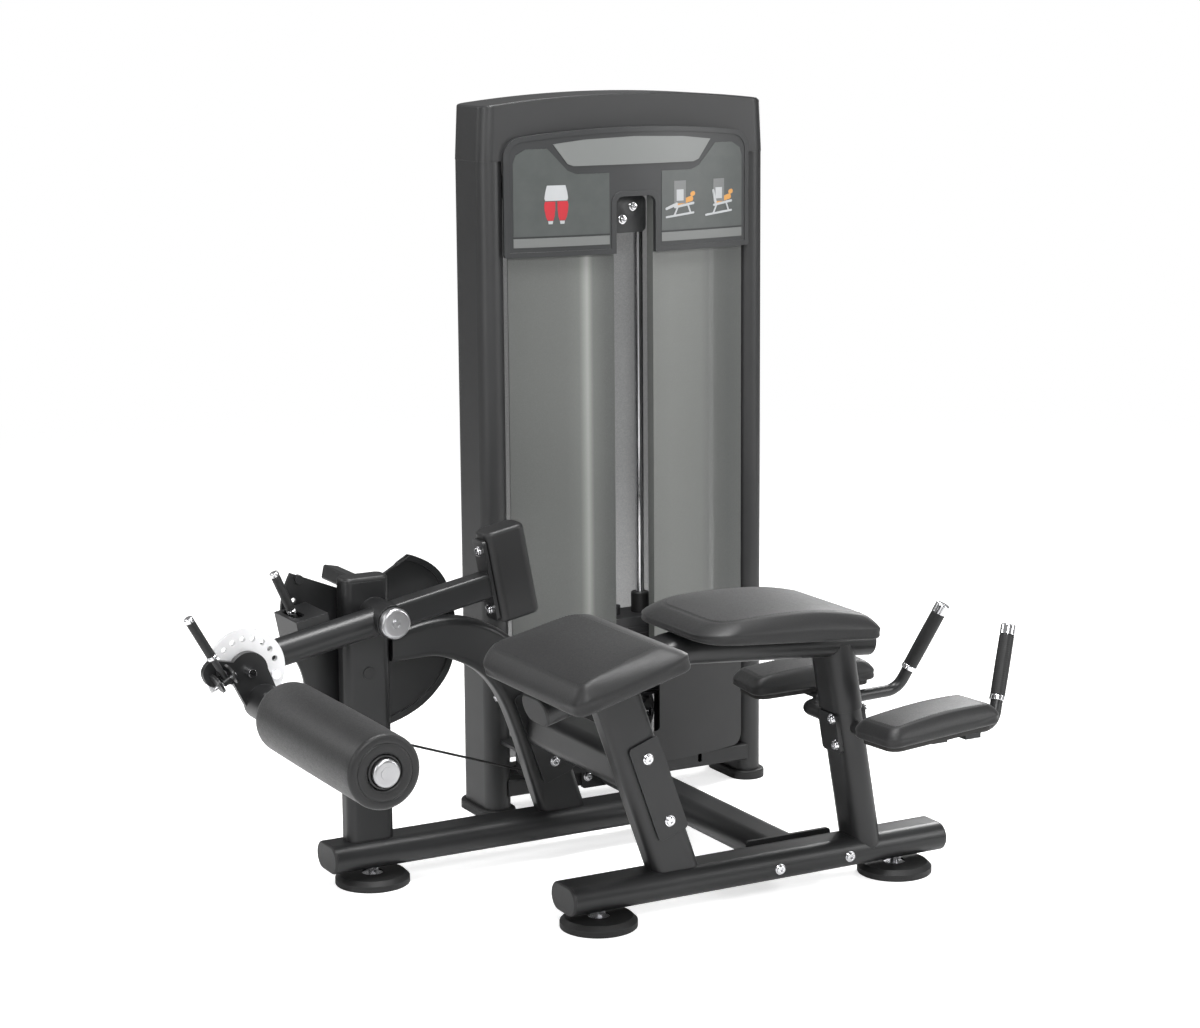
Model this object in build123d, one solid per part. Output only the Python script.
from build123d import *
import math
import os

# Lying (prone) leg curl with its own weight stack tower.  Millimetres.
# Working axes: +X runs from the foot end to the head end of the bench, +Y from
# the bench towards the weight tower, +Z is up and z = 0 is the floor.  x = 0 is
# the middle of the tower, y = 0 the front tangent of its two columns.  In names,
# front is the -Y side, rear the +Y side, left -X and right +X.  On export all
# is moved so the origin is the middle of the footprint on the floor.

os.makedirs("parts", exist_ok=True)

# ------------------------------------------------------------ driving sizes
FOOTPRINT_MIDDLE = (-383.189, -433.152)

RUN = 0.05                      # running clearance on radius
WALL = 3.0                      # tube wall
FRONT_Y = -725.0                # bench centre line and front beam
REAR_Y = -259.0                 # lever post and rear beam

# floor beams and spine: one flat-oval tube section
BEAM_W, BEAM_H = 100.0, 58.0
BEAM_Z = 67.0
BEAM_TOP = BEAM_Z + BEAM_H / 2
CROSS_X = -30.0                 # floor cross tube
FLANGE_T = 8.0                  # joint plates at the ends of the cross tube
FEET = [(-745, REAR_Y), (-476, FRONT_Y), (212, FRONT_Y)]

# legs under the bench
LEG_D = 60.0                    # front leg, size along Y
ARCH_D = 50.0                   # arched leg and lever post, size along Y
LEG_PLATE_T = 5.0
FRONT_LEG_X, FRONT_LEG_LEAN = -314.0, 19.5      # place at the beam top, degrees
RIGHT_LEG_X, RIGHT_LEG_LEAN = 124.5, 9.8

# tower
TOWER_H, TOWER_APEX = 1540.0, 1561.0    # shoulder and crown of the top cover
COL_X = 319.0                   # column centre distance from the tower middle
COL_W, COL_D = 60.0, 146.0      # flat-oval column, across and deep
COL_Y = COL_D / 2
COL_TOP = 1425.0
SHROUD_TOP = COL_TOP - 2

# lever and cam
PIVOT_X, PIVOT_Z = -739.0, 562.0
PIVOT = (PIVOT_X, PIVOT_Z)
LEVER_TILT = 10.8               # lever rises this much towards the head end
LEVER_Y = -330.0
SHAFT_R = 15.0
CAM_Y = -201.0
PIN_HOLE_R = 5.5 + RUN          # rows of holes for the two pull pins
PIN_R = 6.0
HINGE_R = 4.0                   # hinge pins of the two hand levers

# roller
ADJUST_U = -312.0               # roller-arm pivot along the lever
ROLL_X, ROLL_Z = -1018.0, 440.0
ROLLER = (ROLL_X, ROLL_Z)
ROLL_R = 69.0
ROLL_Y0, ROLL_Y1 = -500.0, -950.0
ROLL_SHAFT_R = 12.0
ROLL_SHAFT_Y = -962.0           # front end of the roller shaft

# weight stack
STACK_Y = 72.0
ROD_X, ROD_R = 66.0, 10.0
ROD_FOOT, ROD_TOP = 226.0, 1342.0
PLATE_T, PLATE_P = 14.4, 15.0   # plate thickness and pitch
N_PLATES, N_LIFT = 11, 4
STACK_Z0 = 235.0
CABLE_R = 2.5

X_DIR, Y_DIR, Z_DIR = (1, 0, 0), (0, 1, 0), (0, 0, 1)
NEG_X, NEG_Y = (-1, 0, 0), (0, -1, 0)
UP = Vector(0, 0, 1)


# ------------------------------------------------------------ helpers
def save(name, *shapes):
    """write the solids of the shapes as one STEP file in the part's own axes"""
    shift = Location((-FOOTPRINT_MIDDLE[0], -FOOTPRINT_MIDDLE[1], 0))
    solids = [solid.moved(shift) for shape in shapes for solid in shape.solids()]
    export_step(solids[0] if len(solids) == 1 else Compound(solids), "parts/%s.step" % name)


def plane_along(origin, normal, x_dir=None):
    normal = Vector(normal).normalized()
    if x_dir is None:
        return Plane(origin=Vector(origin), z_dir=normal)
    return Plane(origin=Vector(origin), x_dir=Vector(x_dir), z_dir=normal)


def cyl(start, direction, radius, length):
    return extrude(plane_along(start, direction) * Circle(radius), amount=length)


def cyl_y(centre, y, radius, length):
    """cylinder about an (x, z) centre, running from y towards +Y"""
    return cyl((centre[0], y, centre[1]), Y_DIR, radius, length)


def ring(start, direction, outer, inner, length):
    section = Circle(outer) - Circle(inner)
    return extrude(plane_along(start, direction) * section, amount=length)


def hexagon(start, direction, radius, length):
    return extrude(plane_along(start, direction) * RegularPolygon(radius, 6), amount=length)


def bar(start, end, section, x_dir):
    span = Vector(end) - Vector(start)
    return extrude(plane_along(start, span, x_dir) * section, amount=span.length)


def block(x0, x1, y0, y1, z0, z1):
    centre = Pos((x0 + x1) / 2, (y0 + y1) / 2, (z0 + z1) / 2)
    return centre * Box(x1 - x0, y1 - y0, z1 - z0)


def prism_xz(points, y0, y1):
    """prism of a closed X-Z outline between two Y planes, y0 < y1"""
    face = make_face(Polyline(*[(x, y0, z) for x, z in points], close=True))
    return extrude(face, amount=y1 - y0, dir=Y_DIR)


def rounded(width, depth, radius, inset=0.0):
    """rounded rectangle, moved in all round by the inset"""
    return RectangleRounded(width - 2 * inset, depth - 2 * inset, radius - inset)


def beam_oval(inset=0.0):
    return SlotOverall(BEAM_W - 2 * inset, BEAM_H - 2 * inset)


def soft_fillet(shape, edges, radius):
    """fillet that falls back to smaller radii, then to none, if the kernel refuses"""
    for trial in (radius, radius * 0.7, radius * 0.45):
        try:
            return fillet(edges, trial)
        except Exception:
            continue
    return shape


def largest(shape):
    return max(shape.solids(), key=lambda solid: solid.volume)


def tilted_axes(degrees):
    """unit vectors along and normal to a line that rises towards +X"""
    angle = math.radians(degrees)
    return (Vector(math.cos(angle), 0, math.sin(angle)),
            Vector(-math.sin(angle), 0, math.cos(angle)))


def polar(centre, radius, degrees):
    """(x, z) of a point about an (x, z) centre"""
    angle = math.radians(degrees)
    return (centre[0] + radius * math.cos(angle), centre[1] + radius * math.sin(angle))


# ------------------------------------------------------------ bolts
BOLT_R, BOLT_HOLE_R = 5.0, 5.15
HEAD_R, HEAD_H = 9.0, 5.5
WASHER_R, WASHER_T = 11.0, 2.0
SOCKET_DEPTH = 3.2


def bolt(point, outward, shank):
    """button head socket screw, washer under it, shank into the joint"""
    point, outward = Vector(point), Vector(outward).normalized()
    head = cyl(point + outward * WASHER_T, outward, HEAD_R, HEAD_H)
    top = head.faces().sort_by(Axis(point, outward))[-1]
    head = fillet(top.edges(), 2.6)
    socket_floor = point + outward * (WASHER_T + HEAD_H - SOCKET_DEPTH)
    socket = hexagon(socket_floor, outward, 4.2, 4)
    body = cyl(point, outward, WASHER_R, WASHER_T) + head - socket
    return largest(body + cyl(point - outward * shank, outward, BOLT_R, shank + 1))


FRONT_BEAM_FACE = FRONT_Y - BEAM_W / 2
FRONT_LEG_FACE = FRONT_Y - LEG_D / 2 - LEG_PLATE_T
ARCH_FACE = REAR_Y - ARCH_D / 2 - LEG_PLATE_T
# point on the seat of the washer, outward direction, shank length
BOLTS = [
    ((-95, FRONT_BEAM_FACE, 67), NEG_Y, 14), ((70, FRONT_BEAM_FACE, 67), NEG_Y, 14),
    ((-113, -FLANGE_T, 69), NEG_Y, 16), ((53, -FLANGE_T, 69), NEG_Y, 16),
    ((-385, FRONT_LEG_FACE, 329), NEG_Y, 14), ((-337, FRONT_LEG_FACE, 199), NEG_Y, 14),
    ((-394, ARCH_FACE, 347), NEG_Y, 14), ((-341, ARCH_FACE, 204), NEG_Y, 14),
    ((-327, 0, 275), NEG_Y, 14)]


def bolt_holes(shape):
    """cut the shank hole of every frame bolt"""
    for point, outward, shank in BOLTS:
        outward = Vector(outward).normalized()
        depth = shank + 0.2
        shape = shape - cyl(Vector(point) - outward * depth, outward, BOLT_HOLE_R, depth)
    return shape


# ------------------------------------------------------------ floor frame
def oval_tube(start, end, x_dir):
    """solid envelope of a floor beam and the tube itself"""
    envelope = bar(start, end, beam_oval(), x_dir)
    return envelope, envelope - bar(start, end, beam_oval(WALL), x_dir)


FRONT_BEAM_X0, FRONT_BEAM_X1, REAR_BEAM_X0 = -548, 302, -839
cross_env, cross_tube = oval_tube((CROSS_X, FRONT_Y + BEAM_W / 2 + FLANGE_T, BEAM_Z),
                                  (CROSS_X, -FLANGE_T, BEAM_Z), X_DIR)
front_env, front_beam = oval_tube((FRONT_BEAM_X0, FRONT_Y, BEAM_Z),
                                  (FRONT_BEAM_X1, FRONT_Y, BEAM_Z), Y_DIR)
rear_env, rear_beam = oval_tube((REAR_BEAM_X0, REAR_Y, BEAM_Z), (-50, REAR_Y, BEAM_Z), Y_DIR)
rear_beam = largest(rear_beam - cross_env)
rear_env = rear_env - cross_env
for x, y in FEET:
    stud_hole = cyl((x, y, 30), Z_DIR, 8.2, 20)
    front_beam = front_beam - stud_hole
    rear_beam = rear_beam - stud_hole


def foot_disc(x, y):
    """round levelling foot with a pocket for the stud's base"""
    disc = Pos(x, y, 11) * Cylinder(76, 22)
    disc = chamfer(disc.edges().group_by(Axis.Z)[-1], 9)
    disc = fillet(disc.edges().group_by(Axis.Z)[0], 2)
    return disc - cyl((x, y, 16), Z_DIR, 22, 10)


def foot_stud(x, y):
    stud = cyl((x, y, 16), Z_DIR, 21.5, 4) + cyl((x, y, 20), Z_DIR, 8, 52)
    return largest(stud + hexagon((x, y, 28), Z_DIR, 15, 9.8))


save("foot_discs", *[foot_disc(x, y) for x, y in FEET])
save("foot_studs", *[foot_stud(x, y) for x, y in FEET])


def cross_flange(x0, x1, y1, z0, z1):
    """bolted plate at an end of the cross tube, 0.2 clear of its y1 or y0 neighbour"""
    plate = block(x0, x1, *y1, z0, z1)
    return fillet(plate.edges().filter_by(Axis.Y), 8)


front_flange = cross_flange(-112, 88, (FRONT_Y + 50.2, FRONT_Y + 58), 34, 98)
rear_flange = cross_flange(-128, 68, (-FLANGE_T, -0.2), 42, 96)


def end_cap(point, outward):
    """moulded plug: a domed lip over the tube end and a spigot inside it"""
    point, outward = Vector(point), Vector(outward).normalized()
    lip = extrude(plane_along(point, outward, Y_DIR) * beam_oval(), amount=6)
    lip = fillet(lip.faces().sort_by(Axis(point, outward))[-1].edges(), 4.5)
    inside = plane_along(point - outward * 16, outward, Y_DIR)
    return largest(lip + extrude(inside * beam_oval(WALL + 0.3), amount=16.5))


# ------------------------------------------------------------ lever post
POST_X = -753.0
POST_W, POST_R, POST_TOP = 100.0, 17.0, 628.0
PLUG_AT = (POST_X, 442)


def post_bar(z0, z1, inset=0.0):
    section = rounded(POST_W, ARCH_D, POST_R, inset)
    return bar((POST_X, REAR_Y, z0), (POST_X, REAR_Y, z1), section, X_DIR)


HOUSING_Y, RACE_R, RACE_W = REAR_Y - 26.6, 26, 15
housing_env = cyl_y(PIVOT, HOUSING_Y, 34, 71.4)
post_env = post_bar(70, POST_TOP)
post = largest(post_env - post_bar(60, POST_TOP + 5, WALL) - rear_env)
post = largest(post - housing_env)
post = post - cyl_y(PLUG_AT, REAR_Y - 26, 11, 6)

post_cap = post_bar(POST_TOP, POST_TOP + 10)
post_cap = fillet(post_cap.faces().sort_by(Axis.Z)[-1].edges(), 8)
post_cap = largest(post_cap + post_bar(POST_TOP - 14, POST_TOP + 1, WALL + 0.3))
post_plug = cyl_y(PLUG_AT, REAR_Y - 27.2, 12.5, 2) + cyl_y(PLUG_AT, REAR_Y - 27, 10.8, 7)
post_plug = largest(post_plug)

# main bearing: a housing through the post, two ball races in its ends
housing = housing_env - cyl_y(PIVOT, REAR_Y - 30, RACE_R, 90)
races = [ring((PIVOT_X, y, PIVOT_Z), Y_DIR, RACE_R, SHAFT_R + RUN, RACE_W)
         for y in (HOUSING_Y, REAR_Y + 29.8)]
save("lever_post", largest(post))
save("bearing_housing", largest(housing))
save("bearing_races", *races)

# ------------------------------------------------------------ arched rear leg
# (x, z) along its under and upper curves; both run with the leg on their left
ARCH_LOWER = [(-700, 457), (-642, 457), (-597, 455), (-550, 438), (-512, 416),
              (-480, 385), (-453, 342), (-431, 290), (-397, 187), (-362, 80)]
ARCH_UPPER = [(-258, 80), (-294, 187), (-326, 285), (-356, 366), (-394, 436), (-444, 487),
              (-505, 520), (-560, 533), (-616, 533), (-662, 525), (-700, 514)]
ARCH_INSET = 4.5
ARCH_HOLLOW_D = 35


def arch_solid():
    y = REAR_Y - ARCH_D / 2
    lower = Spline(*[(x, y, z) for x, z in ARCH_LOWER])
    upper = Spline(*[(x, y, z) for x, z in ARCH_UPPER])
    face = make_face([lower, Line(lower @ 1, upper @ 0), upper, Line(upper @ 1, lower @ 0)])
    arch = extrude(face, amount=ARCH_D, dir=Y_DIR)
    long_edges = [edge for edge in arch.edges() if edge.length > 350]
    return soft_fillet(arch, long_edges, 15)


def moved_in(points, inset, steps=30):
    """points along a curve, moved to its left by the inset"""
    curve = Spline(*[(x, 0, z) for x, z in points])
    moved = []
    for i in range(steps + 1):
        point, tangent = curve @ (i / steps), (curve % (i / steps)).normalized()
        moved.append((point.X - tangent.Z * inset, point.Z + tangent.X * inset))
    return moved


hollow_outline = moved_in(ARCH_LOWER, ARCH_INSET) + moved_in(ARCH_UPPER, ARCH_INSET)
arch_hollow = prism_xz(hollow_outline, REAR_Y - ARCH_HOLLOW_D / 2, REAR_Y + ARCH_HOLLOW_D / 2)
arch_leg = largest(arch_solid() - arch_hollow - rear_env - post_env)


# ------------------------------------------------------------ front leg and spine
def leg_point(beam_x, lean, z):
    """point on the centre line of a leg that leans towards -X as it rises"""
    x = beam_x - (z - BEAM_TOP) * math.tan(math.radians(lean))
    return Vector(x, FRONT_Y, z)


leg_x, leg_z = tilted_axes(FRONT_LEG_LEAN)
leg_plane = Plane(origin=leg_point(FRONT_LEG_X, FRONT_LEG_LEAN, 62), x_dir=leg_x, z_dir=leg_z)
leg_env = extrude(leg_plane * rounded(96, LEG_D, 19), amount=500)
leg_hollow = extrude(leg_plane * rounded(96, LEG_D, 19, WALL), amount=520)

# the spine bends under the pads: the chest run drops to the head end, the thigh
# run drops to the foot end
KNEE = Vector(-300.0, FRONT_Y, 531.0)
CHEST_TILT, THIGH_TILT = 4.4, 15.3
SPINE_X0, SPINE_X1, SPINE_BEND_R = -604.0, 125.0, 160
chest_along, chest_normal = tilted_axes(-CHEST_TILT)
thigh_along, thigh_normal = tilted_axes(THIGH_TILT)
spine_head = Vector(SPINE_X1, FRONT_Y,
                    KNEE.Z - (SPINE_X1 - KNEE.X) * math.tan(math.radians(CHEST_TILT)))
spine_foot = Vector(SPINE_X0, FRONT_Y,
                    KNEE.Z - (KNEE.X - SPINE_X0) * math.tan(math.radians(THIGH_TILT)))
spine_path = FilletPolyline(tuple(spine_foot), tuple(KNEE), tuple(spine_head),
                            radius=SPINE_BEND_R)
spine_plane = Plane(origin=spine_foot, x_dir=Y_DIR, z_dir=thigh_along)
spine_env = sweep(spine_plane * beam_oval(), path=spine_path)
spine_hollow = sweep(spine_plane * beam_oval(WALL), path=spine_path)
save("spine_tube", largest(spine_env - spine_hollow))
save("tube_end_caps",
     end_cap((REAR_BEAM_X0, REAR_Y, BEAM_Z), NEG_X),
     end_cap((FRONT_BEAM_X0, FRONT_Y, BEAM_Z), NEG_X),
     end_cap((FRONT_BEAM_X1, FRONT_Y, BEAM_Z), X_DIR),
     end_cap(spine_head, chest_along),
     end_cap(spine_foot, thigh_along * -1),
     post_cap, post_plug)

front_leg = largest(leg_env - leg_hollow - front_env - spine_env)

# cross member between the front leg and the arched leg, with a plate on each leg
MEMBER_X, MEMBER_Z = -360.0, 284.0


def member_bar(y0, y1, inset=0.0):
    section = rounded(84, 80, 22, inset)
    return bar((MEMBER_X, y0, MEMBER_Z), (MEMBER_X, y1, MEMBER_Z), section, X_DIR)


def leg_plate(x, y, z, width):
    plane = Plane(origin=(x, y, z), x_dir=leg_x, z_dir=NEG_Y)
    return extrude(plane * RectangleRounded(width, 205, 9), amount=LEG_PLATE_T)


front_leg_plate = leg_plate(-361, FRONT_Y - LEG_D / 2, 266, 68)
arch_leg_plate = leg_plate(-364, REAR_Y - ARCH_D / 2, 266, 74)
member = (member_bar(FRONT_Y + 20, REAR_Y - 31)
          - member_bar(FRONT_Y + 15, REAR_Y - 25, WALL) - leg_env)
save("leg_crossmember", largest(largest(member) - arch_leg_plate))

# ------------------------------------------------------------ right leg
SLEEVE_Z0 = 366.0               # the lower tube ends here, the wider sleeve starts
JOINT_Z = 322
right_x, right_z = tilted_axes(RIGHT_LEG_LEAN)


def right_point(z):
    return leg_point(RIGHT_LEG_X, RIGHT_LEG_LEAN, z)


def right_tube(z0, z1, width, depth):
    """solid envelope and hollow of a length of the right leg"""
    plane = Plane(origin=right_point(z0), x_dir=Y_DIR, z_dir=right_z)
    length = (z1 - z0) / math.cos(math.radians(RIGHT_LEG_LEAN))
    return [extrude(plane * SlotOverall(depth - 2 * inset, width - 2 * inset), amount=length)
            for inset in (0, WALL)]


lower_env, lower_hollow = right_tube(60, SLEEVE_Z0, 60, 98)
sleeve_env, sleeve_hollow = right_tube(SLEEVE_Z0, 545, 66, 104)
right_leg = largest(lower_env - lower_hollow - front_env)
above_spine = (Pos(spine_head.X, FRONT_Y, spine_head.Z) * Rot(0, CHEST_TILT, 0)
               * (Pos(-100, 0, 100) * Box(600, 300, 200)))
save("right_leg_sleeve", largest(sleeve_env - sleeve_hollow - spine_env - above_spine))


def joint_pad(side, offset, thickness):
    """rounded plate square to the leg, starting at an offset from its centre line"""
    plane = Plane(origin=right_point(JOINT_Z) + right_x * side * offset,
                  x_dir=Y_DIR, z_dir=right_x * side)
    return extrude(plane * RectangleRounded(64, 84, 8), amount=thickness)


# bolted plates each side of the leg, with a back shaped to the oval tube
saddle_plates = [largest(joint_pad(side, 12, 24) + joint_pad(side, 30, 6) - lower_env)
                 for side in (-1, 1)]
for side, columns in ((-1, (-21,)), (1, (-21, 21))):
    for y in columns:
        for z in (354, 300):
            seat = right_point(z) + right_x * side * 36 + Vector(0, y, 0)
            BOLTS.append((seat, right_x * side, 10))

# ------------------------------------------------------------ arm-rest frame
FRAME_X, FRAME_Z, FRAME_HALF = 83.0, 331.0, 147.0
FRAME_R, FRAME_WALL, FRAME_BEND_R = 12.5, 2.5, 38
GRIP_BORE = FRAME_R + 0.1
GRIP_TIP = Vector(405.5, FRONT_Y + 112, 516)    # ends of the rear hand grip
GRIP_ROOT = Vector(348.5, FRONT_Y + 154, 377)


def mirrored(point):
    """the same point on the other side of the bench centre line"""
    return Vector(point.X, 2 * FRONT_Y - point.Y, point.Z)


grip_dir = (GRIP_TIP - GRIP_ROOT).normalized()
rear_half = [Vector(FRAME_X, FRONT_Y + FRAME_HALF, FRAME_Z),
             GRIP_ROOT - grip_dir * ((GRIP_ROOT.Z - FRAME_Z) / grip_dir.Z),
             GRIP_TIP - grip_dir * 8]
frame_points = [mirrored(point) for point in reversed(rear_half)] + rear_half
frame_path = FilletPolyline(*[tuple(point) for point in frame_points], radius=FRAME_BEND_R)
frame_plane = Plane(origin=frame_points[0],
                    z_dir=(frame_points[1] - frame_points[0]).normalized())
frame_env = sweep(frame_plane * Circle(FRAME_R), path=frame_path)
frame_hollow = sweep(frame_plane * Circle(FRAME_R - FRAME_WALL), path=frame_path)
save("handle_frame", largest(frame_env - frame_hollow))
right_leg = largest(right_leg - cyl_y((FRAME_X, FRAME_Z), FRONT_Y - 70, FRAME_R + 0.2, 140))


def grip_parts(tip, root):
    """rubber grip, the collar at its root and the cap over its tip"""
    along = (tip - root).normalized()
    grip = ring(root + along * 9, along, 15.0, GRIP_BORE, (tip - root).length - 9 - 22)
    collar_r = 16.0
    collar = ring(root - along * 2, along, collar_r, GRIP_BORE, 10.5)
    rims = collar.edges().filter_by(lambda e: abs(e.length - 2 * math.pi * collar_r) < 1)
    collar = fillet(rims, 1.5)
    cap = cyl(tip - along * 21.6, along, 15.6, 21.6)
    cap = fillet(cap.faces().sort_by(Axis(tip, along))[-1].edges(), 4)
    cap = cap - cyl(tip - along * 30, along, GRIP_BORE, 22.2)
    return grip, collar, largest(cap)


rear_grip = grip_parts(GRIP_TIP, GRIP_ROOT)
front_grip = grip_parts(mirrored(GRIP_TIP), mirrored(GRIP_ROOT))
save("hand_grips", rear_grip[0], front_grip[0])
save("grip_collars", *rear_grip[1:], *front_grip[1:])

# ------------------------------------------------------------ pads
THIGH_X, THIGH_L, THIGH_W, THIGH_T = -492.5, 254.0, 414.0, 60.0
CHEST_X, CHEST_L, CHEST_W, CHEST_T = -126.0, 402.0, 316.0, 58.0
ARM_L, ARM_W, ARM_T = 284.0, 128.0, 47.0
BOARD = 12.0
SKIRT = 3.0         # the upholstery comes down round the board to this above its underside
ARM_X, ARM_Y, ARM_Z = 133.0, 222.0, FRAME_Z + FRAME_R + 6.2
ARM_BOARD = 10.0


def slab(length, width, z0, z1, corner, top_round=None):
    """flat pad or board with rounded corners and, if given, a rounded top edge"""
    pad = Pos(0, 0, (z0 + z1) / 2) * Box(length, width, z1 - z0)
    pad = fillet(pad.edges().filter_by(Axis.Z), corner)
    if top_round:
        pad = fillet(pad.faces().sort_by(Axis.Z)[-1].edges(), top_round)
    return pad


def pad_and_board(centre, tilt, size, board_margin, pad_round, board_corner):
    """pad hollowed underneath, with 0.5 to spare, for its board"""
    place = Pos(centre.X, centre.Y, centre.Z) * Rot(0, tilt, 0)
    length, width, thickness = size
    board_l, board_w = length - board_margin[0], width - board_margin[1]
    board = place * slab(board_l, board_w, 0, BOARD, board_corner)
    pad = place * slab(length, width, SKIRT, SKIRT + thickness, *pad_round)
    pocket = place * slab(board_l + 1, board_w + 1, -5, BOARD + 0.2, board_corner + 0.5)
    return largest(pad - pocket), board


BOARD_LIFT = BEAM_H / 2 + 0.3   # board underside above the spine centre line
thigh_run = (KNEE.X - THIGH_X) / math.cos(math.radians(THIGH_TILT))
chest_run = (CHEST_X - KNEE.X) / math.cos(math.radians(CHEST_TILT))
thigh_pad, thigh_board = pad_and_board(
    KNEE - thigh_along * thigh_run + thigh_normal * BOARD_LIFT, -THIGH_TILT,
    (THIGH_L, THIGH_W, THIGH_T), (30, 40), (26, 12), 20)
chest_pad, chest_board = pad_and_board(
    KNEE + chest_along * chest_run + chest_normal * BOARD_LIFT, CHEST_TILT,
    (CHEST_L, CHEST_W, CHEST_T), (40, 50), (36, 14), 30)


def arm_place(side):
    """place of an arm pad's underside, side +1 rear and -1 front"""
    return Pos(ARM_X, FRONT_Y + side * ARM_Y, ARM_Z) * Rot(0, 0, -6 * side) * Rot(0, -2, 0)


arm_boards = [arm_place(side) * slab(ARM_L - 24, ARM_W - 24, 0, ARM_BOARD, 24)
              for side in (1, -1)]
rear_arm_pad, front_arm_pad = [
    arm_place(side) * slab(ARM_L, ARM_W, ARM_BOARD + 0.2, ARM_BOARD + ARM_T, 24, 14)
    for side in (1, -1)]


def arm_bracket(side, x):
    """bracket from the bent tube out to the underside of an arm board"""
    tube_y = FRONT_Y + side * (FRAME_HALF + (x - FRAME_X) * 17 / 245)
    bracket = block(x - 18, x + 18, *sorted((tube_y, tube_y + side * 110)),
                    FRAME_Z + 7, FRAME_Z + 40)
    bracket = bracket - frame_env
    bracket = bracket - block(x - 30, x + 30, *sorted((tube_y + side * 13, tube_y + side * 125)),
                              FRAME_Z - 10, FRAME_Z + 11)
    bracket = bracket - arm_boards[0] - arm_boards[1]
    above = arm_place(side) * (Pos(0, 0, 50) * Box(600, 400, 99.9))
    return largest(bracket - above)


arm_brackets = [arm_bracket(side, x) for side in (1, -1) for x in (135, 210)]
save("thigh_pad", thigh_pad)
save("chest_pad", chest_pad)
save("arm_pad_rear", rear_arm_pad)
save("arm_pad_front", front_arm_pad)
save("pad_boards", thigh_board, chest_board, *arm_boards)


# ------------------------------------------------------------ tower columns and top cover
def column_bar(side, z0, z1, grow=0.0):
    section = SlotOverall(COL_D + grow, COL_W + grow)
    return bar((side * COL_X, COL_Y, z0), (side * COL_X, COL_Y, z1), section, Y_DIR)


def column_foot(side):
    foot = column_bar(side, 0, 19.9, 22)
    return fillet(foot.edges().group_by(Axis.Z)[-1], 5)


column_envs = [column_bar(side, 20, COL_TOP) for side in (-1, 1)]
columns = [largest(envelope - column_bar(side, 18, COL_TOP + 2, -2 * WALL))
           for side, envelope in zip((-1, 1), column_envs)]
save("column_feet", *[column_foot(side) for side in (-1, 1)])

COVER_FOOT = COL_X + COL_W / 2  # half width of the top cover at its foot
COVER_SHOULDER = 343.0          # half width at its shoulders


def cover_solid(inset, z_foot, depth):
    """arched outline moved in at its sides and top, extruded towards +Y"""
    foot, shoulder = COVER_FOOT - inset, COVER_SHOULDER - inset
    z_shoulder = TOWER_H - inset
    face = make_face([
        Line((-foot, 0, z_foot), (-shoulder, 0, z_shoulder)),
        ThreePointArc((-shoulder, 0, z_shoulder), (0, 0, TOWER_APEX - inset),
                      (shoulder, 0, z_shoulder)),
        Line((shoulder, 0, z_shoulder), (foot, 0, z_foot)),
        Line((foot, 0, z_foot), (-foot, 0, z_foot))])
    return extrude(face, amount=depth, dir=Y_DIR)


def round_sides(cover, height, tolerance, radius):
    """round the four near-upright corner edges, found by their length"""
    length = math.hypot(COVER_FOOT - COVER_SHOULDER, height)
    uprights = [edge for edge in cover.edges() if abs(edge.length - length) < tolerance]
    return soft_fillet(cover, uprights, radius)


cover = round_sides(cover_solid(0, COL_TOP, COL_D), TOWER_H - COL_TOP, 2, 28)
cover = soft_fillet(cover, cover.faces().sort_by(Axis.Z)[-1].edges(), 5)
cover_hollow = Pos(0, 4, 0) * cover_solid(4.5, COL_TOP - 1, COL_D - 8)
cover_hollow = round_sides(cover_hollow, TOWER_H - COL_TOP - 3, 2.5, 24)
save("top_cap", largest(cover - cover_hollow))

# ------------------------------------------------------------ bowed tower front
# (y of the centre, reference radius) of the two bows seen from above
FACE_BOW = (1390.0, 1420.0)     # upper, flatter front
COVER_BOW = (852.0, 900.0)      # lower cover
CUT_Y0, CUT_Y1 = -90, 40        # depth range of the tools that trim the front
SLOT_HALF = 48                  # half width of the weight slot
FACE_HALF = 300                 # half width of the placard frame
FACE_SURFACE = 7.4              # radius offset of the placard frame's sunk face


def bowed(bow, outer, inner, z0, z1, half):
    """slice of a bowed wall between two offsets from its reference radius"""
    centre_y, radius = bow
    wall = Circle(radius + outer) - Circle(radius + inner)
    wall = extrude(Pos(0, centre_y, z0) * wall, amount=z1 - z0)
    return wall & block(-half, half, -80, 40, z0, z1)


def round_rect_xz(x0, x1, z0, z1, radius, y0=CUT_Y0, y1=CUT_Y1):
    plane = Plane(origin=((x0 + x1) / 2, y1, (z0 + z1) / 2), x_dir=X_DIR, z_dir=NEG_Y)
    return extrude(plane * RectangleRounded(x1 - x0, z1 - z0, radius), amount=y1 - y0)


def cutter_xz(face):
    """front-trimming tool from a face drawn at CUT_Y1"""
    return extrude(face, amount=CUT_Y1 - CUT_Y0, dir=NEG_Y)


def polygon_xz(points):
    return cutter_xz(make_face(Polyline(*[(x, CUT_Y1, z) for x, z in points], close=True)))


def arched_xz(half, z_foot, z_shoulder, z_crown, corner):
    """upright panel outline with an arched top and rounded shoulders"""
    y = CUT_Y1
    tool = cutter_xz(make_face([
        Line((-half, y, z_foot), (-half, y, z_shoulder)),
        ThreePointArc((-half, y, z_shoulder), (0, y, z_crown), (half, y, z_shoulder)),
        Line((half, y, z_shoulder), (half, y, z_foot)),
        Line((half, y, z_foot), (-half, y, z_foot))]))
    shoulders = [e for e in tool.edges().filter_by(Axis.Y) if e.center().Z > 1400]
    return soft_fillet(tool, shoulders, corner)


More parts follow.
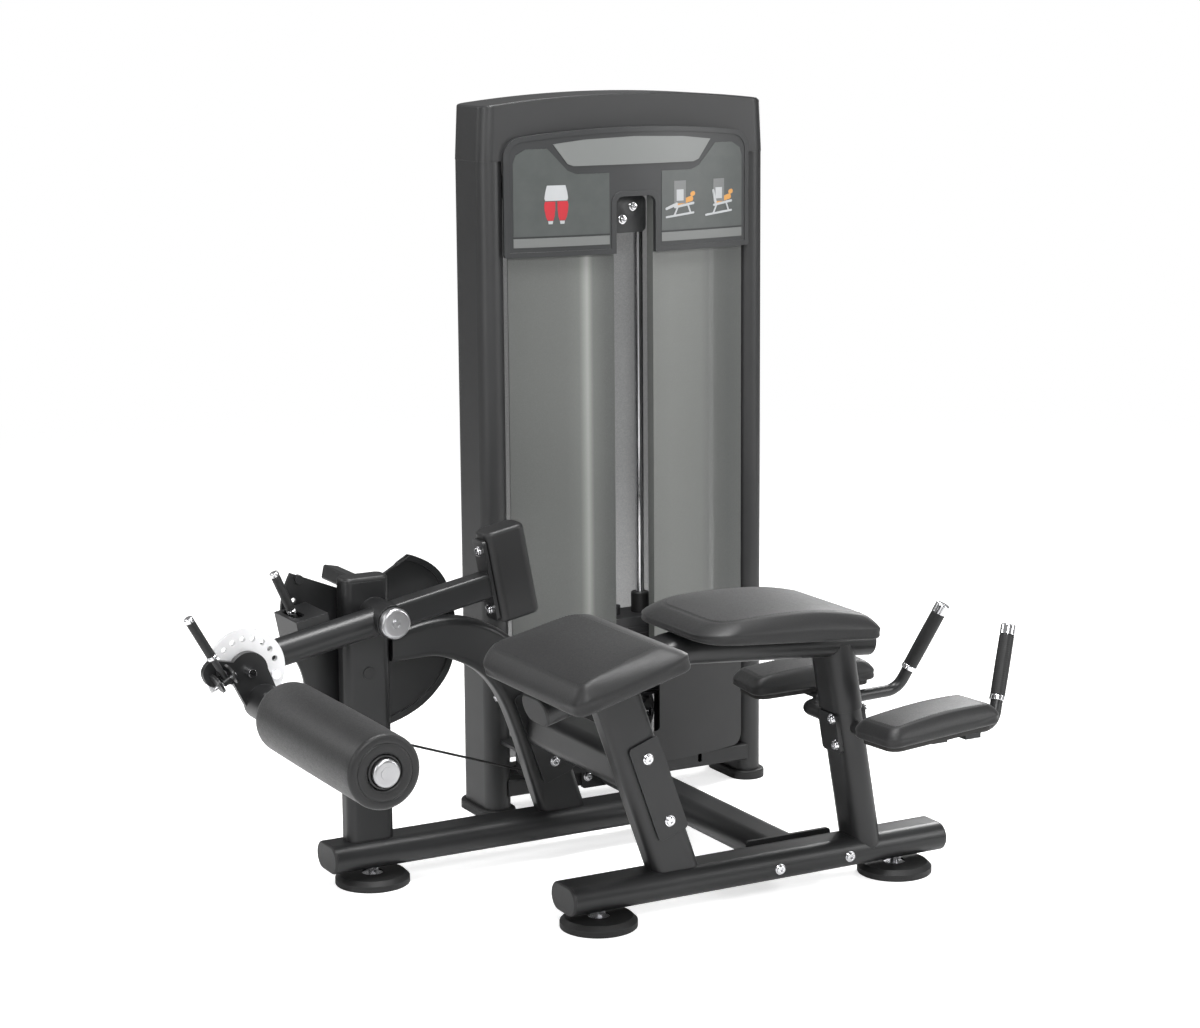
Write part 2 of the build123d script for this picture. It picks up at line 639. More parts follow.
# placard frame: arched top, notch over the weight slot, face sunk inside its border
outline = arched_xz(FACE_HALF, 1222, 1470, 1490, 44)
foot_corners = [e for e in outline.edges().filter_by(Axis.Y) if e.center().Z < 1233]
outline = soft_fillet(outline, foot_corners, 6)
placard = bowed(FACE_BOW, 9, -2, 1200, 1500, FACE_HALF) & outline
placard = placard - round_rect_xz(-SLOT_HALF, SLOT_HALF, 1100, 1343, 17)
sunk_face = (bowed(FACE_BOW, 12, FACE_SURFACE, 1200, 1500, FACE_HALF)
             & arched_xz(289, 1233, 1461, 1479.5, 35))
sunk_face = sunk_face - round_rect_xz(-59, 59, 1100, 1354, 24)
placard = (placard - sunk_face) & block(-310, 310, -90, -0.3, 1200, 1500)
save("placard_frame", largest(placard))

# (x, z) outlines of the raised panels on it; the body and strip are mirrored
TITLE = [(-192, 1458), (-160, 1416), (-146, 1411), (146, 1411), (160, 1416),
         (192, 1458), (120, 1466), (0, 1470), (-120, 1466)]
BODY = [(280, 1266), (64, 1266), (64, 1394), (140, 1394), (160, 1402),
        (205, 1449), (252, 1449), (274, 1436), (280, 1420)]
STRIP = [(280, 1262), (64, 1262), (64, 1243), (280, 1243)]
panels = [largest(bowed(FACE_BOW, 8.6, FACE_SURFACE, 1380, 1480, 280) & polygon_xz(TITLE))]
for side in (-1, 1):
    for shape in (BODY, STRIP):
        panel = polygon_xz([(side * x, z) for x, z in shape])
        panels.append(largest(bowed(FACE_BOW, 8.3, FACE_SURFACE, 1238, 1480, 288) & panel))
save("placard_panels", *panels)


def front_shroud(side):
    """thin bowed sheet, folded back beside the weight slot"""
    half, z0 = 288, 300
    sheet = bowed(FACE_BOW, -4, -7, z0, SHROUD_TOP, half)
    sheet = sheet & block(*sorted((side * SLOT_HALF, side * half)),
                          CUT_Y0, CUT_Y1, z0, SHROUD_TOP)
    fold_y = FACE_BOW[0] - FACE_BOW[1] + 4.1
    fold = block(*sorted((side * SLOT_HALF, side * (SLOT_HALF + 3))),
                 fold_y + 1, fold_y + 26, z0, SHROUD_TOP)
    return largest(sheet + fold)


save("front_shrouds", front_shroud(-1), front_shroud(1))

# lower cover: deeper bow, proud of the shrouds, top edge rises at its ends
COVER_DIP = [(-244, 400), (-244, 366), (-232, 346), (-206, 334),
             (206, 334), (232, 346), (244, 366), (244, 400)]
dip = polygon_xz(COVER_DIP)
dip = soft_fillet(dip, dip.edges().filter_by(Axis.Y), 10)
lower_cover = (bowed(COVER_BOW, 1, -2.4, 88, 384, 286) - dip
               - round_rect_xz(-SLOT_HALF, SLOT_HALF, 160, 500, 10)
               - round_rect_xz(-75, -15, 122, 178, 8)
               - round_rect_xz(-90, 30, 60, 101, 6))
lower_cover = lower_cover & round_rect_xz(-286, 286, 88, 600, 26)

rear_shroud = block(-286, 286, 139.2, 142.2, 92, SHROUD_TOP)
save("rear_shroud", largest(rear_shroud - column_envs[0] - column_envs[1]))


# ------------------------------------------------------------ tower cross bars, stack frame
def crossbar(y0, y1, z0, z1, radius):
    """rectangular tube between the columns"""
    y, z = (y0 + y1) / 2, (z0 + z1) / 2
    outer = bar((-305, y, z), (305, y, z), RectangleRounded(y1 - y0, z1 - z0, radius), Y_DIR)
    hollow = RectangleRounded(y1 - y0 - 2 * WALL, z1 - z0 - 2 * WALL, radius - 2)
    tube = outer - bar((-310, y, z), (310, y, z), hollow, Y_DIR)
    return largest(tube - column_envs[0] - column_envs[1])


front_bar = crossbar(0, 40, 46, 84, 5) - round_rect_xz(174, 184, 58, 78, 4.6, -10, 5)
rear_bar = crossbar(98, 138, 46, 84, 5)
top_bar = crossbar(48, 90, ROD_TOP, 1392, 4)

# guide rods stand on the stack frame and reach the top bar
save("guide_rods", *[cyl((side * ROD_X, STACK_Y, ROD_FOOT), Z_DIR, ROD_R, ROD_TOP - ROD_FOOT)
                     for side in (-1, 1)])
FRAME_FLOOR = 90                # top of the stack frame's floor plate
stack_frame = (block(-108, 108, 4, 134, 84.1, FRAME_FLOOR)
               + block(-100, 100, 20, 124, ROD_FOOT, 232)
               + (block(-100, -94, 20, 124, 89, 227) + block(94, 100, 20, 60, 89, 227)))
for side in (-1, 1):
    stack_frame = stack_frame - cyl((side * ROD_X, STACK_Y, 200), Z_DIR, ROD_R + 0.1, 60)
stack_frame = largest(stack_frame)

# ------------------------------------------------------------ weight plates
PLATE_HALF_X, PLATE_HALF_Y, PLATE_CORNER = 92.0, 50, 6
SELECTOR_R = 4.5
N_LISTED = N_PLATES - 1         # plates under the head plate
N_RESTING = N_LISTED - N_LIFT
HEAD_Z = STACK_Z0 + N_LISTED * PLATE_P


def hole_z(k):
    """height of the selector hole of plate k, counted from the bottom"""
    return STACK_Z0 + k * PLATE_P + PLATE_T / 2


def plate_blank(z, thickness):
    blank = block(-PLATE_HALF_X, PLATE_HALF_X, STACK_Y - PLATE_HALF_Y, STACK_Y + PLATE_HALF_Y,
                  z, z + thickness)
    return fillet(blank.edges().filter_by(Axis.Z), PLATE_CORNER)


def weight_plate(k):
    z = STACK_Z0 + k * PLATE_P
    plate = plate_blank(z, PLATE_T)
    plate = plate - cyl((0, STACK_Y, z - 1), Z_DIR, 13, PLATE_T + 2)
    for side in (-1, 1):
        plate = plate - cyl((side * ROD_X, STACK_Y, z - 1), Z_DIR, 12.5, PLATE_T + 2)
    return plate - cyl_y((0, hole_z(k)), STACK_Y - 60, SELECTOR_R + RUN, 80)


def head_plate():
    """top plate with the drilled selector stem that hangs through the stack"""
    head = plate_blank(HEAD_Z, 22)
    for side in (-1, 1):
        head = head - cyl((side * ROD_X, STACK_Y, HEAD_Z - 1), Z_DIR, ROD_R + RUN, 30)
    stem = cyl((0, STACK_Y, STACK_Z0 + 2), Z_DIR, 11, HEAD_Z - STACK_Z0 + 28)
    stem = stem + cyl((0, STACK_Y, HEAD_Z + 20), Z_DIR, 14, 22)
    for k in range(N_LISTED):
        stem = stem - cyl_y((0, hole_z(k)), STACK_Y - 30, SELECTOR_R + RUN, 60)
    stem = stem - cyl((0, STACK_Y, HEAD_Z + 34), Z_DIR, CABLE_R + 0.5, 20)
    return largest(head + stem)


def rod_bumper(side):
    bumper = ring((side * ROD_X, STACK_Y, HEAD_Z + 22.1), Z_DIR, 20, ROD_R + RUN, 46)
    rim = bumper.edges().group_by(Axis.Z)[-1].filter_by(lambda e: e.length > 100)
    return fillet(rim, 4)


save("resting_plates", *[weight_plate(k) for k in range(N_RESTING)])
save("lifted_plates", *[weight_plate(k) for k in range(N_RESTING, N_LISTED)])
save("head_plate", head_plate())
save("rod_bumpers", rod_bumper(-1), rod_bumper(1))
selector_at = (0, hole_z(N_RESTING))
selector = (cyl_y(selector_at, STACK_Y - 78, SELECTOR_R, 92)
            + cyl_y(selector_at, STACK_Y - 100, 13, 24))
selector = soft_fillet(selector, selector.faces().sort_by(Axis.Y)[0].edges(), 4)
save("selector_pin", largest(selector))

# ------------------------------------------------------------ cable path
PULLEY_R = 45.0                 # guide and bottom pulleys, to the cable centre
GUIDE_START = Vector(-312, -156, 164)
BOTTOM_C = Vector(70, STACK_Y, 175)
CAM_CABLE_R = 250.5
TURN_Z = 1470                   # the cable turns over the top pulley above this


def route_cable(guide):
    """slide the guide pulley along Y until the cable reaches it in the cam plane

    Returns its centre, the cable's tangent points from the cam to the bottom
    pulley, the directions before and after the guide pulley, and the level
    heading towards the bottom pulley."""
    guide_in = guide + Vector(0, -PULLEY_R, 0)
    guide_out = guide + Vector(20, -40, 0)
    for _ in range(40):
        # tangent from the cam's underside, in the cam plane
        reach = Vector(guide_in.X - PIVOT_X, 0, guide_in.Z - PIVOT_Z)
        angle = math.atan2(reach.Z, reach.X) - math.acos(CAM_CABLE_R / reach.length)
        cam_out = Vector(PIVOT_X + CAM_CABLE_R * math.cos(angle), CAM_Y,
                         PIVOT_Z + CAM_CABLE_R * math.sin(angle))
        run_in = (guide_in - cam_out).normalized()
        # tangent to the underside of the bottom pulley
        level = Vector(BOTTOM_C.X - guide_out.X, BOTTOM_C.Y - guide_out.Y, 0)
        heading = level.normalized()
        height = guide_out.Z - BOTTOM_C.Z
        dip_angle = math.asin(PULLEY_R / math.hypot(level.length, height))
        climb = math.atan2(-height, level.length) - dip_angle
        run_out = heading * math.cos(climb) + UP * math.sin(climb)
        # radial directions from the tangent points to the guide centre
        cosine = run_in.dot(run_out)
        radial_in = (run_out - run_in * cosine).normalized()
        radial_out = (run_out * cosine - run_in).normalized()
        guide = guide + Vector(0, CAM_Y - (guide - radial_in * PULLEY_R).Y, 0)
        guide_in = guide - radial_in * PULLEY_R
        guide_out = guide - radial_out * PULLEY_R
    bottom_in = BOTTOM_C - (UP * math.cos(climb) - heading * math.sin(climb)) * PULLEY_R
    return guide, (cam_out, guide_in, guide_out, bottom_in), (run_in, run_out), heading


GUIDE_C, tangents, (run_in, run_out), heading = route_cable(GUIDE_START)
cam_out, guide_in, guide_out, bottom_in = tangents
bottom_out = BOTTOM_C + heading * PULLEY_R
top_in = Vector(bottom_out.X, bottom_out.Y, TURN_Z)
top_out = Vector(0, STACK_Y, TURN_Z)
TOP_C = (top_in + top_out) * 0.5
TOP_R = (top_in - top_out).length / 2


def wrap(centre, start, end):
    """arc of cable round a pulley"""
    middle = (start - centre).normalized() + (end - centre).normalized()
    return ThreePointArc(start, centre + middle.normalized() * PULLEY_R, end)


cable = None
for segment in (Line(cam_out, guide_in), wrap(GUIDE_C, guide_in, guide_out),
                Line(guide_out, bottom_in), wrap(BOTTOM_C, bottom_in, bottom_out),
                Line(bottom_out, top_in),
                ThreePointArc(top_in, TOP_C + Vector(0, 0, TOP_R), top_out)):
    plane = Plane(origin=segment @ 0, z_dir=segment % 0)
    length = sweep(plane * Circle(CABLE_R), path=segment)
    cable = length if cable is None else cable + length
save("cable_run", cable)
save("cable_drop", cyl((0, STACK_Y, HEAD_Z + 35), Z_DIR, CABLE_R,
                       TURN_Z - HEAD_Z - 35 - 0.3))
save("lower_cover", largest(lower_cover - cyl(guide_out, run_out, 9, 420)))

# ------------------------------------------------------------ pulleys and their forks
PULLEY_W, PULLEY_LIP, GROOVE_W = 16.0, 6.5, 6.8
AXLE_R = 6.0
CHEEK_GAP, CHEEK_T = 9.5, 5.0   # cheek distance from the pulley's middle plane
CHEEK_STARTS = (-CHEEK_GAP - CHEEK_T, CHEEK_GAP)
FORK_REACH = 30.0               # cheek length beyond the axle

guide_axis = run_in.cross(run_out).normalized()
if guide_axis.Z < 0:
    guide_axis = guide_axis * -1
bottom_axis = UP.cross(heading).normalized()
top_axis = UP.cross((top_out - top_in).normalized()).normalized()


def pulley(centre, axis, radius):
    """grooved wheel with a ring-shaped recess in each face"""
    wheel = cyl(centre - axis * PULLEY_W / 2, axis, radius + PULLEY_LIP - CABLE_R, PULLEY_W)
    groove = ring(centre - axis * GROOVE_W / 2, axis, radius + 30,
                  radius - CABLE_R - 0.2, GROOVE_W)
    wheel = wheel - groove
    for start in (-10, 5):
        wheel = wheel - ring(centre + axis * start, axis, radius - 9, 16, 5)
    return largest(wheel - cyl(centre - axis * 40, axis, AXLE_R + RUN, 80))


def axle_hole(centre, axis):
    return cyl(centre - axis * 40, axis, AXLE_R + 0.1, 80)


def fork(centre, axis, back, width, length):
    """two cheeks either side of a pulley joined by a web away from it"""
    back = (back - axis * back.dot(axis)).normalized()
    cheeks = []
    for start in CHEEK_STARTS:
        middle = centre + axis * start + back * (length - FORK_REACH) / 2
        plane = Plane(origin=middle, x_dir=back, z_dir=axis)
        cheek = plane * RectangleRounded(length + FORK_REACH, width, 10)
        cheeks.append(extrude(cheek, amount=CHEEK_T))
    web_start = centre - axis * (CHEEK_GAP + CHEEK_T - 0.5) + back * (length - 0.1)
    plane = Plane(origin=web_start, x_dir=back, z_dir=axis)
    web = extrude(plane * (Pos(-CHEEK_T / 2, 0) * Rectangle(CHEEK_T, width - 8)),
                  amount=2 * (CHEEK_GAP + CHEEK_T) - 1)
    return cheeks[0] + cheeks[1] + web - axle_hole(centre, axis)


def top_cheek(start):
    """plate beside the top pulley that stands on the top bar"""
    plane = Plane(origin=TOP_C + top_axis * start, x_dir=Z_DIR, z_dir=top_axis)
    cheek = extrude(plane * (Pos(-29.0, 0) * RectangleRounded(98, 40, 6)), amount=CHEEK_T)
    return largest(cheek - axle_hole(TOP_C, top_axis))


def axle(centre, axis):
    """pulley axle with a hexagon at one end and a round head at the other"""
    pin = cyl(centre - axis * 19, axis, AXLE_R, 38)
    pin = pin + hexagon(centre + axis * 14.6, axis, 10, 6)
    return largest(pin + cyl(centre - axis * 21, axis, 10, 6.4))


save("guide_pulley", pulley(GUIDE_C, guide_axis, PULLEY_R))
save("bottom_pulley", pulley(BOTTOM_C, bottom_axis, PULLEY_R))
save("top_pulley", pulley(TOP_C, top_axis, TOP_R))
axles = [axle(centre, axis) for centre, axis in
         ((GUIDE_C, guide_axis), (BOTTOM_C, bottom_axis), (TOP_C, top_axis))]

# the guide fork is carried on an arm from the left column
guide_fork = fork(GUIDE_C, guide_axis, Vector(0, 1, 0), 44, 64)
root = GUIDE_C + (Vector(0, 1, 0) - guide_axis * guide_axis.Y).normalized() * 60
carrier = block(root.X - 18, root.X + 18, root.Y - 2, 40, root.Z - 16, root.Z - 9)
web_plate = block(root.X - 22, root.X + 22, root.Y + 3, root.Y + 9, root.Z - 16, root.Z + 14)
guide_bracket = largest((guide_fork + carrier + web_plate) - column_envs[0])
# the bottom fork stands on the stack frame floor
bottom_fork = fork(BOTTOM_C, bottom_axis, UP * -1, 40, BOTTOM_C.Z - FRAME_FLOOR - 0.2)
save("pulley_forks", guide_bracket, largest(bottom_fork),
     *[top_cheek(start) for start in CHEEK_STARTS])

# the cable passes through the top bar twice
top_bar = largest(top_bar - (cyl((0, STACK_Y, 1330), Z_DIR, 9, 80)
                             + cyl((bottom_out.X, bottom_out.Y, 1330), Z_DIR, 9, 80)))

# ------------------------------------------------------------ cam with its quadrant
# (degrees, radius) about the pivot along the right and left edges
CAM_RIGHT = [(-116, 259), (-100, 259), (-85, 259), (-70, 259), (-56, 259), (-47, 256),
             (-39, 252), (-20, 227), (0, 205), (17, 187), (30, 165), (39, 148)]
CAM_LEFT = [(150, 166), (165, 166), (180, 166), (195, 166),
            (208, 166), (222, 172), (234, 200), (243, 246)]
CAM_HUB = [(57, 52), (95, 50), (132, 52)]       # over the top of the hub
CAM_HUB_R = 34
START_HOLES_R, START_HOLE = 142, 189            # hole row radius; the hole the pin faces


def smooth_profile(profile, inset):
    """points about every 2.5 degrees along a spline through the profile"""
    knots = [polar(PIVOT, radius - inset, degrees) for degrees, radius in profile]
    curve = Spline(*[(x, 0, z) for x, z in knots])
    steps = int((profile[-1][0] - profile[0][0]) / 2.5)
    points = [curve @ (i / steps) for i in range(steps + 1)]
    return [(point.X, point.Z) for point in points]


def cam_prism(inset, half_width):
    hub = [polar(PIVOT, radius - inset * 0.3, degrees) for degrees, radius in CAM_HUB]
    outline = smooth_profile(CAM_RIGHT, inset) + hub + smooth_profile(CAM_LEFT, inset)
    return prism_xz(outline, CAM_Y - half_width, CAM_Y + half_width)


# the grooved rim is kept only on the right and under side
rim_sector = [(0.1, -60), (500, -117.5), (600, -90), (600, -50), (600, 0), (500, 41)]
rim_zone = prism_xz([polar(PIVOT, radius, degrees) for radius, degrees in rim_sector],
                    CAM_Y - 12, CAM_Y + 12)
cam = cam_prism(0, 4) + ((cam_prism(0, 9) - cam_prism(14, 10)) & rim_zone)
cam = largest(cam - ((cam_prism(-20, 3.6) - cam_prism(11.3, 5)) & rim_zone))
for degrees in (169, 179, 189, 199, 209):
    cam = cam - cyl_y(polar(PIVOT, START_HOLES_R, degrees), CAM_Y - 20, PIN_HOLE_R, 40)
cam = cam + cyl_y(PIVOT, CAM_Y - 9, CAM_HUB_R, 28)
# round boss beside the hole row, and the bar that runs along Y above the hub
cam = cam + cyl_y(polar(PIVOT, 146, 151.5), CAM_Y - 12, 9, 12)
cam_bar = (Pos(PIVOT_X - 3, 0, PIVOT_Z + 46) * Rot(0, 12, 0)
           * (Pos(0, CAM_Y + 62, 0) * Box(36, 132, 30)))
cam = cam + fillet(cam_bar.edges().filter_by(Axis.Y), 5)
cam = cam - cyl_y(PIVOT, CAM_Y - 60, SHAFT_R, 77)
save("cam_quadrant", largest(cam))

# pivot shaft, with a cap and a socket screw on its front end
SHAFT_Y0 = -390
shaft = cyl_y(PIVOT, SHAFT_Y0, SHAFT_R, CAM_Y + 16 - SHAFT_Y0)
hub_cap = cyl((PIVOT_X, -377, PIVOT_Z), NEG_Y, 31, 17)
hub_cap = fillet(hub_cap.faces().sort_by(Axis.Y)[0].edges(), 7)
hub_cap = hub_cap - cyl((PIVOT_X, -370, PIVOT_Z), NEG_Y, SHAFT_R, 20.2)
hub_screw = cyl((PIVOT_X, -394, PIVOT_Z), NEG_Y, 9.5, 6)
hub_screw = hub_screw - hexagon((PIVOT_X, -397.5, PIVOT_Z), NEG_Y, 4.6, 4)
save("pivot_shaft", shaft, largest(hub_cap + hub_screw))

# ------------------------------------------------------------ lever
# modelled in its own axes: x along the lever from the pivot, y across, z normal
LEVER_R = 28.5                  # round tube on the foot side
LEVER_HEAD = 229                # end of the rectangular tube on the head side
lever_along, lever_normal = tilted_axes(LEVER_TILT)


def on_lever(shape):
    """from the lever's own axes to working axes"""
    return Pos(PIVOT_X, 0, PIVOT_Z) * Rot(0, -LEVER_TILT, 0) * shape


def lever_bar(x0, x1, section):
    return bar((x0, LEVER_Y, 0), (x1, LEVER_Y, 0), section, Y_DIR)


pin_x, pin_z = polar(PIVOT, START_HOLES_R, START_HOLE)
pin_offset = Vector(pin_x - PIVOT_X, 0, pin_z - PIVOT_Z)
PIN_U, PIN_W = pin_offset.dot(lever_along), pin_offset.dot(lever_normal)
START_HINGE = Vector(PIN_U - 6, -268.0, -8.0)


def pin_bracket():
    """open-bottomed box between lever and quadrant that carries the start pin"""
    box = block(PIN_U - 38, PIN_U + 30, LEVER_Y, -216, -24, 46)
    box = box - block(PIN_U - 33, PIN_U + 25, -324, -222, -60, 41)
    slot = extrude(Plane.XY * SlotOverall(78, 24, rotation=90), amount=10)
    box = box - Pos(PIN_U - 17, -264, 40) * slot
    box = box - lever_bar(-400, 0, Circle(LEVER_R))
    return box - cyl_y((PIN_U, PIN_W), -230, PIN_R + RUN, 20)


def lever_arm():
    hub = cyl_y((0, 0), -375, 34, 87)
    lever = hub + lever_bar(-300, 0, Circle(LEVER_R))
    lever = lever + lever_bar(0, LEVER_HEAD, rounded(44, 52, 8))
    lever = lever - lever_bar(-297, 0, Circle(LEVER_R - WALL))
    lever = lever - lever_bar(0, LEVER_HEAD - 3, rounded(44, 52, 8, WALL))
    end_plate = Pos(LEVER_HEAD + 3.5, LEVER_Y, 10) * Box(7, 50, 168)
    end_plate = fillet(end_plate.edges().filter_by(Axis.X), 8)
    lever = lever + hub + end_plate + pin_bracket()
    lever = lever - cyl_y((0, 0), -400, SHAFT_R + RUN, 150)
    hinge_hole = cyl((PIN_U - 35, START_HINGE.Y, START_HINGE.Z), X_DIR, HINGE_R + 0.02, 62)
    return largest(on_lever(lever - hinge_hole))


def counterweight():
    weight = Pos(LEVER_HEAD + 7.2 + 45, LEVER_Y, 14) * Box(90, 62, 190)
    weight = fillet(weight.edges().filter_by(Axis.Z), 19)
    weight = fillet(weight.faces().sort_by(Axis.Z)[-1].edges(), 9)
    return fillet(weight.faces().sort_by(Axis.Z)[0].edges(), 9)


def hand_lever(hinge, direction, grip_start, grip_end):
    """rod from its hinge up to a rounded grip, with a ring under the grip"""
    direction = Vector(direction).normalized()
    hinge = Vector(hinge)
    rod = cyl(hinge, direction, 6.0, grip_end - 4)
    grip = cyl(hinge + direction * grip_start, direction, 9.0, grip_end - grip_start)
    grip = soft_fillet(grip, grip.edges().filter_by(lambda e: e.length > 20), 2.0)
    return rod + grip + cyl(hinge + direction * (grip_start - 9), direction, 9.6, 8)


save("lever_arm", lever_arm())
save("counterweight", on_lever(counterweight()))

# start-position pull pin; both pull pins rest drawn back, clear of their hole rows
start_at = (PIN_U, PIN_W)
start_pin = cyl_y(start_at, -236, PIN_R, 24) + cyl_y(start_at, -212.5, 5.5, 7.2)
start_pin = start_pin + cyl_y(start_at, -257, 9, 22)
save("start_pin", largest(on_lever(start_pin)))

start_handle = hand_lever(START_HINGE, (-0.22, 0.04, 1), 66, 150)
start_handle = start_handle + cyl(START_HINGE - Vector(12, 0, 0), X_DIR, 9, 24)
start_handle = start_handle - cyl(START_HINGE - Vector(30, 0, 0), X_DIR, HINGE_R + RUN, 60)
save("start_handle", on_lever(start_handle))
start_hinge_pin = cyl((PIN_U - 35, START_HINGE.Y, START_HINGE.Z), X_DIR, HINGE_R, 62)
weight_bolts = [bolt((LEVER_HEAD, LEVER_Y, z), NEG_X, shank=0) for z in (71, -51)]


# ------------------------------------------------------------ roller-arm disc
def lever_point(along, y):
    """point on the lever's centre plane in working axes"""
    return Vector(PIVOT_X, y, PIVOT_Z) + lever_along * along


adjust_centre = lever_point(ADJUST_U, 0)
ADJUST = (adjust_centre.X, adjust_centre.Z)
ADJUST_HOLES_R = 61
ADJUST_PIN_R = 8                # pivot pin of the roller arm

wedge = prism_xz([ADJUST] + [polar(ADJUST, 300, degrees) for degrees in (208, 250, 305)],
                 -380, -350)
disc = cyl_y(ADJUST, -368.5, 80, 10) - wedge
disc = disc + cyl_y(ADJUST, -368.5, 40, 10)
disc = disc + cyl_y(ADJUST, -370.5, 22, 3)
for degrees in range(15, 190, 20):
    disc = disc - cyl_y(polar(ADJUST, ADJUST_HOLES_R, degrees), -380, PIN_HOLE_R, 40)
disc = disc - bar(lever_point(-300.5, LEVER_Y), lever_point(-100, LEVER_Y),
                  Circle(LEVER_R + 0.1), Y_DIR)
disc = largest(disc)
save("adjust_disc", disc - cyl_y(ADJUST, -400, ADJUST_PIN_R, 60))

button_x, button_z = polar(ADJUST, ADJUST_HOLES_R, -15)
save("lever_hardware", on_lever(start_hinge_pin), *[on_lever(b) for b in weight_bolts],
     cyl_y(ADJUST, -404, ADJUST_PIN_R, 45),
     cyl((button_x, -369, button_z), NEG_Y, 9, 6))

# ------------------------------------------------------------ roller arm
ARM_Y0, ARM_Y1 = -386.0, -371.0         # arm plate
BLOCK_Y0 = -430                         # front of the two hinge cheeks
ARM_PIN = polar(ADJUST, ADJUST_HOLES_R, 175)
ARM_HINGE = Vector(ARM_PIN[0] + 4, -412, ARM_PIN[1] - 10)
HANDLE_DIR = Vector(-0.50, 0, 0.866)
HINGE_DIR = Vector(0.866, 0, 0.50)
# (radius, degrees) of the lobe that carries the pull pin
ARM_LOBE = [(20, 120), (86, 158), (96, 176), (86, 196), (20, 240)]


def arm_web():
    """straight plate from the disc centre down to the roller shaft"""
    run_x, run_z = ROLL_X - ADJUST[0], ROLL_Z - ADJUST[1]
    run = math.hypot(run_x, run_z)
    side_x, side_z = -run_z / run, run_x / run
    corners = [(ADJUST, 36), (ADJUST, -38), (ROLLER, -34), (ROLLER, 34)]
    return prism_xz([(centre[0] + side_x * offset, centre[1] + side_z * offset)
                     for centre, offset in corners], ARM_Y0, ARM_Y1)


def arm_lobe():
    lobe = prism_xz([polar(ADJUST, radius, degrees) for radius, degrees in ARM_LOBE],
                    ARM_Y0, ARM_Y1)
    outer_edges = [e for e in lobe.edges().filter_by(Axis.Y)
                   if math.hypot(e.center().X - ADJUST[0], e.center().Z - ADJUST[1]) > 60]
    return soft_fillet(lobe, outer_edges, 22)


def hinge_cheek(start):
    across = Vector(0, (BLOCK_Y0 + ARM_Y0) / 2 - ARM_HINGE.Y, 0)
    origin = ARM_HINGE + HINGE_DIR * start + HANDLE_DIR * 4 + across
    plane = Plane(origin=origin, x_dir=HANDLE_DIR, z_dir=HINGE_DIR)
    return extrude(plane * RectangleRounded(38, ARM_Y0 - BLOCK_Y0 + 0.4, 17.5), amount=5)


arm = cyl_y(ADJUST, ARM_Y0, 38, ARM_Y1 - ARM_Y0) + arm_web()
arm = arm + cyl_y(ROLLER, -496, 36, 496 + ARM_Y1)
arm = arm + arm_lobe()
arm = arm + (hinge_cheek(-18.5) + hinge_cheek(13.5))
arm = arm - cyl_y(ADJUST, -420, ADJUST_PIN_R + RUN, 80)
arm = arm - cyl_y(ARM_PIN, -420, PIN_R + RUN, 60)
arm = largest(arm - cyl_y(ROLLER, -500, ROLL_SHAFT_R, 30))
arm_hinge_hole = cyl(ARM_HINGE - HINGE_DIR * 28.05, HINGE_DIR, HINGE_R + 0.02, 50.1)
save("roller_arm", largest(arm - arm_hinge_hole))

adjust_pin = cyl_y(ARM_PIN, -393, PIN_R, 18) + cyl_y(ARM_PIN, -375.1, 5.5, 6.3)
save("adjust_pin", largest(adjust_pin + cyl_y(ARM_PIN, -402, 9, 9.7)))
adjust_handle = hand_lever(ARM_HINGE, (HANDLE_DIR.X, -0.05, HANDLE_DIR.Z), 62, 152)
adjust_handle = largest(adjust_handle + cyl(ARM_HINGE - HINGE_DIR * 9, HINGE_DIR, 8.5, 18))
save("adjust_handle",
     adjust_handle - cyl(ARM_HINGE - HINGE_DIR * 60, HINGE_DIR, HINGE_R + RUN, 120))

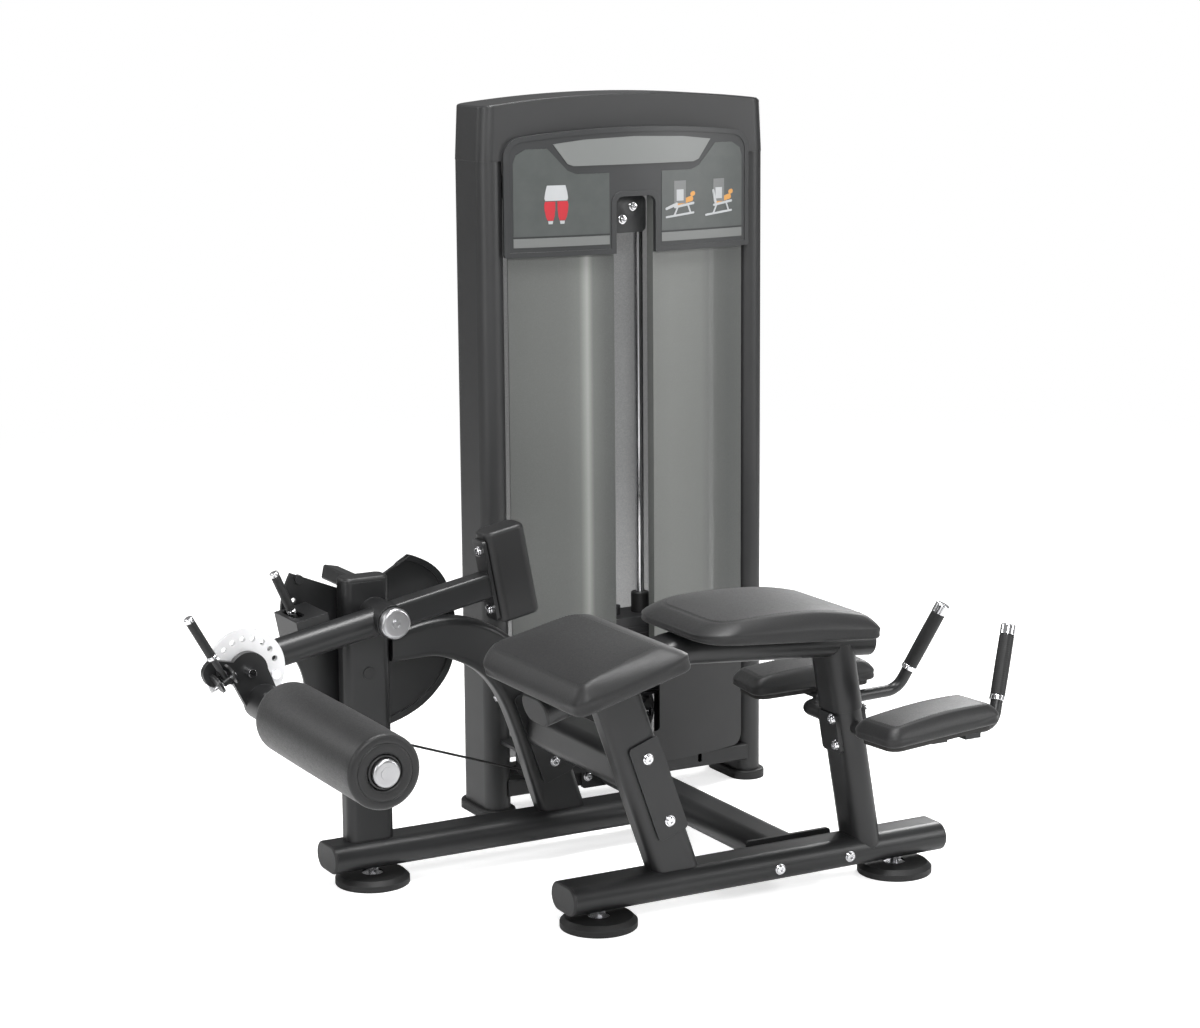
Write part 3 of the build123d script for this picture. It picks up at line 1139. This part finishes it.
# ------------------------------------------------------------ roller
# foam sleeve on a hub tube; its front end is recessed and carries a cap
foam = cyl_y(ROLLER, ROLL_Y1, ROLL_R, ROLL_Y0 - ROLL_Y1)
foam = fillet(foam.faces().sort_by(Axis.Y)[-1].edges(), 22)
foam = fillet(foam.faces().sort_by(Axis.Y)[0].edges(), 7)
foam = foam - cyl_y(ROLLER, ROLL_Y1 - 1, 32, 12)
save("roller_foam", foam - cyl_y(ROLLER, ROLL_Y1 - 10, 20, 600))

hub_bore = ROLL_SHAFT_R + RUN
roller_hub = ring((ROLL_X, ROLL_Y1 + 11.2, ROLL_Z), Y_DIR, 19.9, hub_bore,
                  ROLL_Y0 - ROLL_Y1 - 13)
roller_hub = roller_hub + ring((ROLL_X, ROLL_Y1 + 4, ROLL_Z), Y_DIR, 31.8, hub_bore, 6.8)
save("roller_hub", largest(roller_hub))

roller_cap = cyl_y(ROLLER, ROLL_Y1 - 11, 26, 14.5)
roller_cap = fillet(roller_cap.faces().sort_by(Axis.Y)[0].edges(), 6)
roller_cap = roller_cap - cyl_y(ROLLER, ROLL_SHAFT_Y, ROLL_SHAFT_R, 30)
cap_socket = hexagon((ROLL_X, ROLL_Y1 - 14, ROLL_Z), NEG_Y, 4.6, 4)
roller_cap = roller_cap + cyl_y(ROLLER, ROLL_Y1 - 17, 9.5, 5) - cap_socket
save("roller_arm_hardware",
     cyl_y(ROLLER, ROLL_SHAFT_Y, ROLL_SHAFT_R, -480 - ROLL_SHAFT_Y),
     largest(roller_cap),
     cyl(ARM_HINGE - HINGE_DIR * 28, HINGE_DIR, HINGE_R, 50))

# ------------------------------------------------------------ bolted frame pieces
# these come last because they are drilled for the full list of bolts
save("front_base_beam", largest(bolt_holes(front_beam)))
save("rear_base_beam", rear_beam)
save("base_cross_tube", largest(cross_tube))
joint_plates = [front_flange, rear_flange, front_leg_plate, arch_leg_plate, *saddle_plates]
save("joint_plates", *[largest(bolt_holes(plate)) for plate in joint_plates], *arm_brackets)
save("arch_leg", largest(bolt_holes(arch_leg)))
save("front_leg", largest(bolt_holes(front_leg)))
save("right_leg", largest(bolt_holes(right_leg)))
save("tower_columns", largest(bolt_holes(columns[0])), columns[1])
save("tower_crossbars", stack_frame, bolt_holes(front_bar), rear_bar, top_bar)
save("frame_fasteners", *[bolt(*place) for place in BOLTS], *axles)
